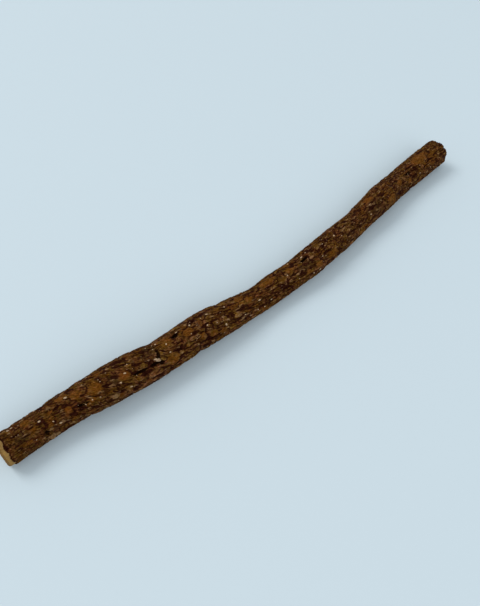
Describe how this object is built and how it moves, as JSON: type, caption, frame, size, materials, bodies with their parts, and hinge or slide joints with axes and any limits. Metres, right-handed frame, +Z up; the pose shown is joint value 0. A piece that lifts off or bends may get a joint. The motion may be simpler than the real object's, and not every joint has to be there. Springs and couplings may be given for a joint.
{
  "type": "licorice root",
  "caption": "Dried licorice root stick, bowed and uneven, with wrinkled brown corky bark and pale cut ends, lying on a surface; used as a spice, chew or decoration.",
  "frame": {"origin": "on the surface the root lies on, under the middle of its outline seen from above", "axes": "+X along the root, from its broad-barked near end to its far end; +Y across it, to the side opposite the one it bows to; +Z up"},
  "size_m": [0.1801, 0.0162, 0.0107],
  "materials": {
    "bark": "dry corky bark, matte orange brown with dark creases and pale specks, bare yellow wood at both cut ends"
  },
  "bodies": {
    "root": {"licorice_root": "bark"}
  },
  "joints": []
}
